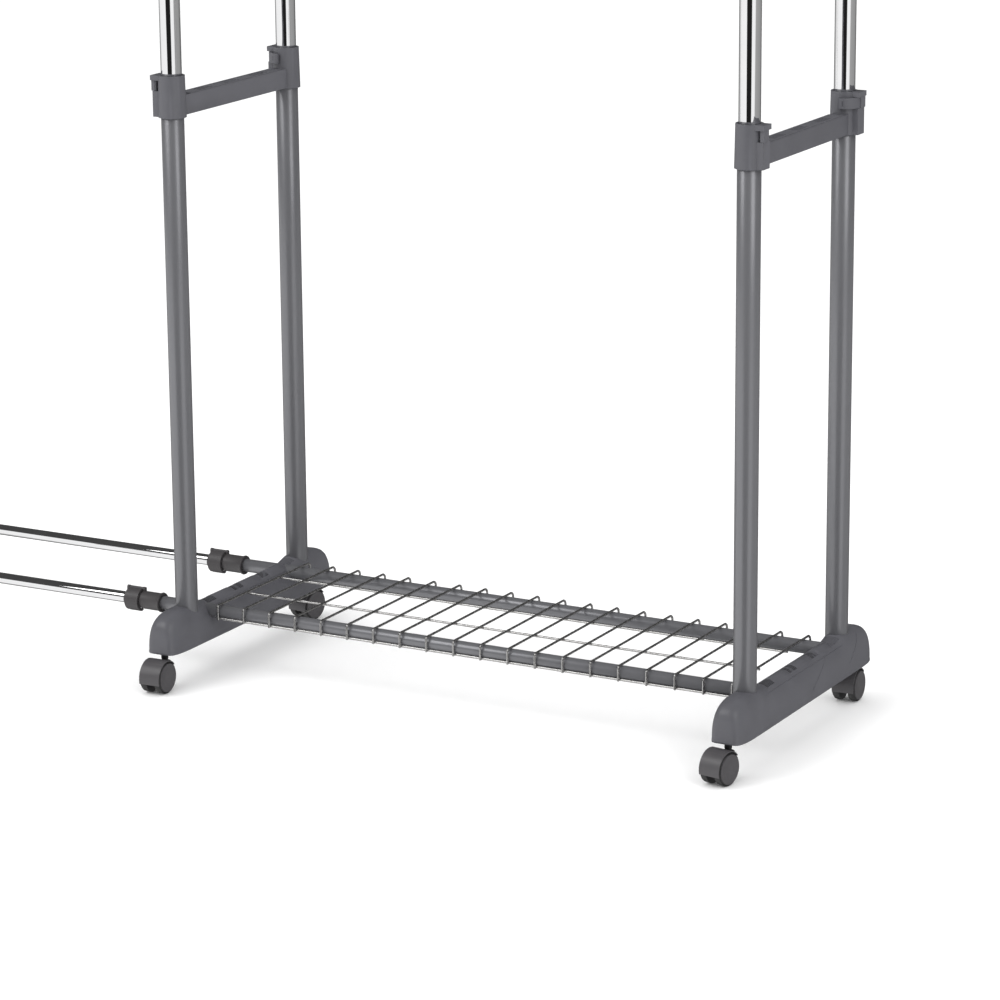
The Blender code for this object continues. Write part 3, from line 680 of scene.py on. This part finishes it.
def make_height_lever(row, side):
    node = f"{row}_{side}_height_lever"
    hinge = Vector(JOINT_AT[f"{row}_{side}_lever_hinge"]["pos_m"])
    x, y = upright(row, side)
    pin = Vector(((hinge.x - x) * SIDES[side], (hinge.y - y) * -ROWS[row]))
    low, high = (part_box(node)[i][2] for i in (0, 1))
    low, high = low + PIN_BELOW, high - PIN_ABOVE
    pin_angle = math.degrees(math.atan2(pin.y, pin.x))
    outer, inner = LEVER_OUT, LEVER_IN
    outline = arc(outer, pin_angle, 88, 28)
    outline += [(1.2 * MM, outer + 0.6 * MM), (0.0, outer + 0.2 * MM), (-0.4 * MM, outer - 1.6 * MM)]
    outline += arc(inner, 90, pin_angle + 6, 26)
    lever = link_mesh(node + "_fine", prism(outline, low, high), [GREY_PLASTIC])
    barrel = turned([(2.1 * MM, low), (2.1 * MM, high)], 32)
    heel = block((HEEL_IN, SEAT_FRONT, low), (HEEL_OUT, 3 * MM, high))
    groove = block((6 * MM, 19.7 * MM, low + 3.5 * MM), (13 * MM, 23 * MM, high - 3.5 * MM))
    steps = [("UNION", moved(barrel, at(pin.x, pin.y))), ("UNION", heel), ("DIFFERENCE", groove)]
    shaped(lever, steps, 0.45 * MM)
    lever.data.transform(corner_frame(row, side))
    if SIDES[side] * -ROWS[row] < 0:
        lever.data.flip_normals()
    stand_for(lever, node)
    pin_shape = turned([(1.3 * MM, low - 4.8 * MM), (1.3 * MM, high + 5.8 * MM)], 24)
    metal = link_mesh(f"{row}_{side}_lever_pin", moved(pin_shape, at(hinge.x, hinge.y)), [STEEL])
    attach(metal, BODY_OF[node])


# ---------------------------------------------------------------- elbows

RAIL_STOP = 15.7 * MM           # where the hanging rail ends, from the upright's axis
BORE_PAST = 0.02


def make_elbow(row, side):
    node = f"{row}_{side}_elbow"
    low, high = (Vector(corner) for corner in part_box(node))
    x, y = upright(row, side)
    inward = -SIDES[side]
    axis_z = middle(f"{row}_hanging_rail").z
    mast = extent(f"{row}_{side}_upper_tube").x / 2
    mast_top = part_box(f"{row}_{side}_upper_tube")[1][2]
    rail = extent(f"{row}_hanging_rail").y / 2
    radius = high.z - axis_z - 0.1 * MM
    reach = (high.x - x) if inward > 0 else (x - low.x)
    profile = [(radius - 0.8 * MM, low.z), (radius, low.z + 0.8 * MM)]
    profile += [(radius, axis_z + 2 * MM)] + arc(7 * MM, 0, 88, 10, (radius - 7 * MM, high.z - 7.1 * MM))
    elbow = link_mesh(node + "_fine", moved(turned(profile, 64), at(x, y)), [GREY_PLASTIC])
    along = at(x, y, axis_z) @ turn(90 * inward, "Y")
    arm = [(radius - 0.3 * MM, 0.5 * MM), (radius - 0.3 * MM, reach - 0.8 * MM), (radius - 1.1 * MM, reach)]
    band = [(radius - 0.2 * MM, reach - 7 * MM), (radius, reach - 6.4 * MM), (radius, reach - 2.2 * MM)]
    band.append((radius - 0.2 * MM, reach - 1.6 * MM))
    mast_bore = [(mast + GAP, low.z - BORE_PAST), (mast + GAP, mast_top + GAP)]
    rail_bore = [(rail + GAP, RAIL_STOP), (rail + GAP, reach + BORE_PAST)]
    steps = [("UNION", moved(turned(arm, 64), along)), ("UNION", moved(turned(band, 64), along))]
    steps.append(("DIFFERENCE", moved(turned(mast_bore, 64), at(x, y))))
    steps.append(("DIFFERENCE", moved(turned(rail_bore, 64), along)))
    shaped(elbow, steps, 0.5 * MM)
    stand_for(elbow, node)


# ---------------------------------------------------------------- rail locks, tabs and rod caps

# Stands a drawing made in x and y upright, across a rail.
YZ_DRAWING = Matrix(((0, 0, 1, 0), (-1, 0, 0, 0), (0, 1, 0, 0), (0, 0, 0, 1)))
TAB_OUT, TAB_IN, TAB_SWEEP = 14.6 * MM, 11.2 * MM, 178


def make_rail_lock(row):
    node = f"{row}_rail_lock"
    low, high = (Vector(corner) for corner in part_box(node))
    rail = middle(f"{row}_bottom_rail")
    rail_radius = extent(f"{row}_bottom_rail").y / 2
    rod_radius = extent(f"{row}_extension_rod").y / 2
    rail_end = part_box(f"{row}_bottom_rail")[0][0]
    step = rail_end - 1.5 * MM
    outer = [(10.2 * MM, low.x), (10.8 * MM, low.x + 0.6 * MM), (10.8 * MM, step), (11.0 * MM, step)]
    outer += [(11.4 * MM, step + 0.6 * MM), (11.4 * MM, high.x - 4.4 * MM), (11.7 * MM, high.x - 3.8 * MM)]
    outer += [(12.7 * MM, high.x - 1.2 * MM), (12.3 * MM, high.x)]
    inner = [(rail_radius + GAP, high.x), (rail_radius + GAP, rail_end - GAP)]
    inner += [(rod_radius + 0.5 * MM, rail_end - GAP), (rod_radius + 0.5 * MM, low.x)]
    shape = moved(turned(outer + inner, 64, ring=True), at(0, rail.y, rail.z) @ turn(90, "Y"))
    lock = link_mesh(node + "_fine", shape, [BROWN_PLASTIC])
    hinge = Vector(JOINT_AT[f"{row}_tab_hinge"]["pos_m"])
    steps = []
    for start, end in ((low.x, low.x + 3.5 * MM), (step - 0.5 * MM, step + 2.5 * MM)):
        ear = arc(2.6 * MM, 0, 180, 12) + [(-2.6 * MM, -5 * MM), (2.6 * MM, -5 * MM)]
        flat = prism(ear, start, end)
        steps.append(("UNION", moved(flat, at(0, hinge.y, hinge.z) @ YZ_DRAWING)))
    shaped(lock, steps, 0.35 * MM)
    stand_for(lock, node)


def make_rail_tab(row):
    """The C-shaped flip tab that wraps the front of a rail lock."""
    node = f"{row}_rail_tab"
    hinge = Vector(JOINT_AT[f"{row}_tab_hinge"]["pos_m"])
    rail = middle(f"{row}_bottom_rail")
    low_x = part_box(f"{row}_rail_lock")[0][0] + 3.8 * MM
    high_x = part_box(f"{row}_bottom_rail")[0][0] - 2.3 * MM
    pin_angle = math.degrees(math.atan2(hinge.z - rail.z, rail.y - hinge.y))
    outer, inner, end = TAB_OUT, TAB_IN, pin_angle - TAB_SWEEP
    outline = arc(outer, pin_angle, end, 40) + arc(inner, end, pin_angle - 6, 36)
    tab = link_mesh(node + "_fine", prism(outline, low_x, high_x), [BROWN_PLASTIC])
    barrel = turned([(2.2 * MM, low_x), (2.2 * MM, high_x)], 32)
    moved(barrel, at(rail.y - hinge.y, hinge.z - rail.z))
    thumb_low = (-1.5 * MM, -outer - 0.05 * MM, low_x + 1 * MM)
    thumb = block(thumb_low, (3.5 * MM, -inner - 1 * MM, high_x - 1 * MM))
    tab = shaped(tab, [("UNION", barrel), ("UNION", thumb)], 0.5 * MM)
    tab.data.transform(at(0, rail.y, rail.z) @ YZ_DRAWING)
    tab.data.flip_normals()
    stand_for(tab, node)


def make_rod_cap(row):
    node = f"{row}_rod_cap"
    low, high = (Vector(corner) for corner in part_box(node))
    centre = middle(node)
    rod_radius = extent(f"{row}_extension_rod").y / 2
    rod_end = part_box(f"{row}_extension_rod")[0][0]
    radius = (high.z - low.z) / 2
    nose = arc(3 * MM, 180, 90, 10, (low.x + 3 * MM, radius - 3 * MM))
    profile = [(0.2 * MM, low.x)] + [(y, x) for x, y in nose]
    profile += [(radius, high.x - 0.6 * MM), (radius - 0.6 * MM, high.x), (rod_radius + GAP, high.x)]
    profile += [(rod_radius + GAP, rod_end - GAP), (0.2 * MM, rod_end - GAP)]
    shape = moved(turned(profile, 48, ring=True), at(0, centre.y, centre.z) @ turn(90, "Y"))
    stand_for(link_mesh(node + "_fine", shape, [BROWN_PLASTIC]), node)


# ---------------------------------------------------------------- wire shelf

def wire_curve(name, paths, radius, material):
    curve = bpy.data.curves.new(name, "CURVE")
    curve.dimensions = "3D"
    curve.bevel_depth = radius
    curve.bevel_resolution = 3
    curve.use_fill_caps = True
    for path in paths:
        spline = curve.splines.new("POLY")
        spline.points.add(len(path) - 1)
        spline.use_smooth = True
        for point, place in zip(spline.points, path):
            point.co = (*place, 1.0)
    curve.materials.append(material)
    item = bpy.data.objects.new(name, curve)
    bpy.context.scene.collection.objects.link(item)
    return item


WIRE_RADIUS, WIRE_BEND, WIRE_COUNT = 1.5 * MM, 3.2 * MM, 20


def make_wire_shelf():
    low, high = (Vector(corner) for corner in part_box("wire_shelf"))
    rail = middle("front_bottom_rail")
    radius = WIRE_RADIUS
    top = high.z - radius
    front, back = low.y + radius, high.y - radius
    bend, count = WIRE_BEND, WIRE_COUNT
    first, last = low.x + 2 * MM, high.x - 2 * MM
    hook_end = rail.z - 4 * MM
    paths = []
    for i in range(count):
        x = first + (last - first) * i / (count - 1)
        flat = [(front, low.z)]
        flat += [(y, z) for y, z in arc(bend, 180, 90, 8, (front + bend, top - bend))]
        flat += [(y, z) for y, z in arc(2 * bend, 90, 0, 10, (back - 2 * bend, top - 2 * bend))]
        flat += [(back, hook_end)]
        paths.append([(x, y, z) for y, z in flat])
    cross = wire_curve("wire_shelf_cross_wires", paths, radius, WIRE_METAL)
    stand_for(cross, "wire_shelf")
    weld = 2 * radius - 0.4 * MM
    middle_y = (rail.y + middle("back_bottom_rail").y) / 2
    runs = [(front + weld, rail.z - 6.7 * MM), (middle_y - 35 * MM, top - weld)]
    runs += [(middle_y + 44 * MM, top - weld), (back - weld, rail.z - 2.2 * MM)]
    lengths = [[(low.x, y, z), (high.x, y, z)] for y, z in runs]
    long_wires = wire_curve("wire_shelf_long_wires", lengths, radius, WIRE_METAL)
    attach(long_wires, BODY_OF["wire_shelf"])
    beads = []
    for y, z in runs:
        for i in range(count):
            x = first + (last - first) * i / (count - 1)
            across = 0.5 if y in (runs[1][0], runs[2][0]) else 0.0
            offset = Vector((0, 0 if across else (-0.5 if y < middle_y else 0.5), across)) * weld
            beads.append(weld_bead(Vector((x, y, z)) + offset, radius))
    bead_piece = link_mesh("wire_shelf_welds", merged(beads), [WIRE_METAL])
    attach(bead_piece, BODY_OF["wire_shelf"])


def weld_bead(place, radius):
    """A flattened nugget where two wires are welded."""
    bm = bmesh.new()
    bmesh.ops.create_icosphere(bm, subdivisions=2, radius=radius * 1.05)
    return moved(bm, at(*place) @ Matrix.Diagonal((1.0, 1.0, 0.75, 1)))


# ---------------------------------------------------------------- casters

def caster_frame(row, side):
    """Places a caster drawn with its stem on Z and its wheels towards -Y."""
    stem = middle(f"{row}_{side}_caster_stem")
    axle = middle(f"{row}_{side}_caster_axle")
    angle = math.degrees(math.atan2(axle.x - stem.x, stem.y - axle.y))
    return at(stem.x, stem.y) @ turn(angle, "Z"), (axle - stem).xy.length, axle.z


# Stands a drawing made in x and y upright, across the wheels' axle.
SIDE_DRAWING = Matrix(((0, 0, 1, 0), (1, 0, 0, 0), (0, 1, 0, 0), (0, 0, 0, 1)))
HOOD_OUT, HOOD_IN, HOOD_START, HOOD_END = 21.75 * MM, 20.6 * MM, 38, 195
WEB_HALF, WHEEL_WIDTH = 5.4 * MM, 10.4 * MM


def make_caster(row, side):
    name = f"{row}_{side}_caster"
    place, trail, axle_z = caster_frame(row, side)
    to_side = at(0, -trail, axle_z) @ SIDE_DRAWING
    web, width, inner = WEB_HALF, WHEEL_WIDTH, HOOD_IN
    hood_half = web + GAP + 0.8 * width
    guard = arc(HOOD_OUT, HOOD_START, HOOD_END, 44) + arc(inner, HOOD_END, HOOD_START, 40)
    guard_shape = moved(prism(guard, -hood_half, hood_half), to_side)
    hood = link_mesh(name + "_hood_fine", guard_shape, [CASTER_PLASTIC])
    web_outline = arc(inner + 0.5 * MM, HOOD_START, HOOD_END, 30)
    web_outline += [(-4 * MM, -8 * MM), (6 * MM, -8 * MM), (10 * MM, 0)]
    web_shape = moved(prism(web_outline, -web, web), to_side)
    boss = turned([(7.8 * MM, 21 * MM), (7.8 * MM, 35 * MM), (7.2 * MM, 35.5 * MM)], 40)
    rooms = [turned([(inner - 0.2 * MM, web), (inner - 0.2 * MM, 20 * MM)], 64)]
    rooms += [turned([(inner - 0.2 * MM, -20 * MM), (inner - 0.2 * MM, -web)], 64)]
    room_shape = moved(merged(rooms), to_side)
    stem_hole = turned([(4.8 * MM, 26.7 * MM), (4.8 * MM, 50 * MM)], 32)
    steps = [("UNION", web_shape), ("UNION", boss)]
    steps += [("DIFFERENCE", room_shape), ("DIFFERENCE", stem_hole)]
    shaped(hood, steps, 0.35 * MM)
    hood.data.transform(place)
    stand_for(hood, name + "_hood")
    stem_low, stem_high = (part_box(name + "_stem")[i][2] for i in (0, 1))
    profile = [(4.5 * MM, stem_low), (4.5 * MM, 37 * MM), (4.1 * MM, 37.4 * MM), (4.1 * MM, 38.6 * MM)]
    profile += [(4.5 * MM, 39 * MM), (4.5 * MM, stem_high - 1 * MM), (3.5 * MM, stem_high)]
    stem = link_mesh(name + "_stem_fine", moved(turned(profile, 40), place), [STEEL])
    stand_for(stem, name + "_stem")
    for label, way in SIDES.items():
        make_wheel(name, label, way, place @ at(0, -trail, axle_z), axle_z, web + GAP, width)


def make_wheel(name, label, way, place, radius, start, width):
    """A black tread ring with a grey dished disc on its outer face."""
    outward = place @ turn(90 * way, "Y")
    tread = [(3 * MM, start), (radius - 0.7 * MM, start), (radius - 0.15 * MM, start + 0.6 * MM)]
    tread += [(radius - 0.02 * MM, start + 2 * MM), (radius - 0.02 * MM, start + width - 3 * MM)]
    tread += [(radius - 0.3 * MM, start + width - 2.2 * MM), (radius - 1.1 * MM, start + width - 1.5 * MM)]
    tread += [(radius - 1.6 * MM, start + width - 2.4 * MM), (3 * MM, start + width - 2.4 * MM)]
    node = f"{name}_{label}_wheel"
    rim = link_mesh(node + "_tread", moved(turned(tread, 72, ring=True), outward), [TREAD])
    stand_for(rim, node)
    face = start + width
    disc = [(0.4 * MM, face - 2.9 * MM), (radius - 2.0 * MM, face - 2.9 * MM)]
    disc += [(radius - 1.9 * MM, face - 1.4 * MM), (radius - 2.1 * MM, face - 0.7 * MM)]
    disc += [(radius - 2.7 * MM, face - 0.3 * MM), (radius - 3.5 * MM, face - 0.35 * MM)]
    disc += [(radius - 4.0 * MM, face - 0.6 * MM), (radius * 0.45, face - 0.3 * MM)]
    disc.append((0.4 * MM, face - 0.1 * MM))
    cover = link_mesh(node + "_disc", moved(turned(disc, 72, ring=True), outward), [CASTER_PLASTIC], 40)
    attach(cover, BODY_OF[node])


# ---------------------------------------------------------------- floor, light and camera

def make_stage():
    centre = (CAD_BOX[0] + CAD_BOX[1]) / 2
    bm = bmesh.new()
    bmesh.ops.create_grid(bm, x_segments=1, y_segments=1, size=30.0)
    material, nodes, links, shader = new_material("pale_floor")
    place = object_coordinates(nodes, links)
    slow = noise_node(nodes, links, place, 0.6, 2.0)
    pale = colour_between(nodes, links, slow, (0.90, 0.90, 0.90), (0.93, 0.93, 0.93))
    links.new(pale, shader.inputs["Base Color"])
    shader.inputs["Roughness"].default_value = 0.9
    shader.inputs["Specular IOR Level"].default_value = 0.0
    floor = link_mesh("floor", bm, [material])
    floor.location = (centre.x, centre.y, CAD_BOX[0].z - 0.2 * MM)
    floor.visible_glossy = False


# The dark panel overhead that polished parts see: where it starts and is full, and its brightness
PANEL_START, PANEL_FULL, PANEL_VALUE = 0.03, 0.10, 0.06
# What polished parts see round the horizon: degrees about Z, and how bright it is there
HORIZON = (
    (-180, 1.0), (-104, 1.05), (-100, 0.015), (-50, 0.015), (-46, 1.05), (-12, 1.0),
    (-6, 0.40), (60, 0.32), (90, 0.10), (130, 0.08), (165, 0.5), (179, 1.0),
)
ROOM_STRENGTH = 1.15


def make_light():
    """A pale room, where polished parts see bands round the horizon and a dark panel overhead."""
    world = bpy.data.worlds.new("studio")
    bpy.context.scene.world = world
    world.use_nodes = True
    nodes, links = world.node_tree.nodes, world.node_tree.links
    nodes.clear()
    output = nodes.new("ShaderNodeOutputWorld")
    mix = nodes.new("ShaderNodeMixShader")
    plain = nodes.new("ShaderNodeBackground")
    plain.inputs["Color"].default_value = (1.0, 1.0, 1.0, 1.0)
    plain.inputs["Strength"].default_value = ROOM_STRENGTH
    panels = nodes.new("ShaderNodeBackground")
    place = nodes.new("ShaderNodeTexCoord")
    split = nodes.new("ShaderNodeSeparateXYZ")
    links.new(place.outputs["Generated"], split.inputs["Vector"])
    azimuth = nodes.new("ShaderNodeMath")
    azimuth.operation = "ARCTAN2"
    links.new(split.outputs["Y"], azimuth.inputs[0])
    links.new(split.outputs["X"], azimuth.inputs[1])
    around = nodes.new("ShaderNodeMapRange")
    around.inputs["From Min"].default_value = -math.pi
    around.inputs["From Max"].default_value = math.pi
    links.new(azimuth.outputs["Value"], around.inputs["Value"])
    bands = nodes.new("ShaderNodeValToRGB")
    ramp = bands.color_ramp
    ramp.elements.remove(ramp.elements[1])
    ramp.elements[0].position = 0.0
    ramp.elements[0].color = (HORIZON[0][1],) * 3 + (1.0,)
    for degrees, value in HORIZON[1:]:
        element = ramp.elements.new((degrees + 180) / 360)
        element.color = (value, value, value, 1.0)
    links.new(around.outputs["Result"], bands.inputs["Fac"])
    height = nodes.new("ShaderNodeMapRange")
    height.inputs["From Min"].default_value = PANEL_START
    height.inputs["From Max"].default_value = PANEL_FULL
    links.new(split.outputs["Z"], height.inputs["Value"])
    blend = nodes.new("ShaderNodeMixRGB")
    blend.inputs["Color2"].default_value = (PANEL_VALUE, PANEL_VALUE, PANEL_VALUE, 1.0)
    links.new(height.outputs["Result"], blend.inputs["Fac"])
    links.new(bands.outputs["Color"], blend.inputs["Color1"])
    links.new(blend.outputs["Color"], panels.inputs["Color"])
    panels.inputs["Strength"].default_value = 1.0
    path = nodes.new("ShaderNodeLightPath")
    links.new(path.outputs["Is Glossy Ray"], mix.inputs["Fac"])
    links.new(plain.outputs["Background"], mix.inputs[1])
    links.new(panels.outputs["Background"], mix.inputs[2])
    links.new(mix.outputs["Shader"], output.inputs["Surface"])
    softbox("key_light", (-1.9, -2.6, 3.2), 2.4, 70.0)
    softbox("fill_light", (3.4, -1.4, 2.4), 2.0, 35.0)


def softbox(name, place, size, power):
    light = bpy.data.lights.new(name, "AREA")
    light.size = size
    light.energy = power
    item = bpy.data.objects.new(name, light)
    bpy.context.scene.collection.objects.link(item)
    item.location = place
    aim = (CAD_BOX[0] + CAD_BOX[1]) / 2 - Vector(place)
    item.rotation_mode = "QUATERNION"
    item.rotation_quaternion = aim.to_track_quat("-Z", "Y")


CAMERA_OFFSET = (2.2588, -4.1335, 1.4989)       # from the floor point midway between the feet
CAMERA_YAW, CAMERA_DIP, CAMERA_ROLL = 26.936, 14.983, 0.015
CAMERA_LENS, CAMERA_SHIFT = 142.95, (-0.1223, 0.0060)


def make_camera():
    feet = (middle("left_foot") + middle("right_foot")) / 2
    data = bpy.data.cameras.new("camera")
    data.sensor_width = 36.0
    data.lens = CAMERA_LENS
    data.shift_x, data.shift_y = CAMERA_SHIFT
    data.clip_end = 100.0
    camera = bpy.data.objects.new("camera", data)
    bpy.context.scene.collection.objects.link(camera)
    camera.location = Vector((feet.x, feet.y, 0)) + Vector(CAMERA_OFFSET)
    look = turn(CAMERA_YAW, "Z") @ turn(90 - CAMERA_DIP, "X") @ turn(CAMERA_ROLL, "Z")
    camera.rotation_euler = look.to_euler()
    bpy.context.scene.camera = camera


# ---------------------------------------------------------------- the whole scene

# How far the uprights stand from the middle of a foot
POST_OFFSET = (upright("back", "left")[1] - upright("front", "left")[1]) / 2

make_tubes()
for side_name in SIDES:
    make_foot(side_name)
    make_brace(side_name)
for row_name in ROWS:
    for side_name in SIDES:
        make_height_lever(row_name, side_name)
        make_elbow(row_name, side_name)
        make_caster(row_name, side_name)
        frame["nodes"][f"{row_name}_{side_name}_caster_axle"].data.materials.clear()
        frame["nodes"][f"{row_name}_{side_name}_caster_axle"].data.materials.append(STEEL)
    make_rail_lock(row_name)
    make_rail_tab(row_name)
    make_rod_cap(row_name)
make_wire_shelf()
make_stage()
make_light()
make_camera()
bpy.context.scene.view_settings.view_transform = "Standard"
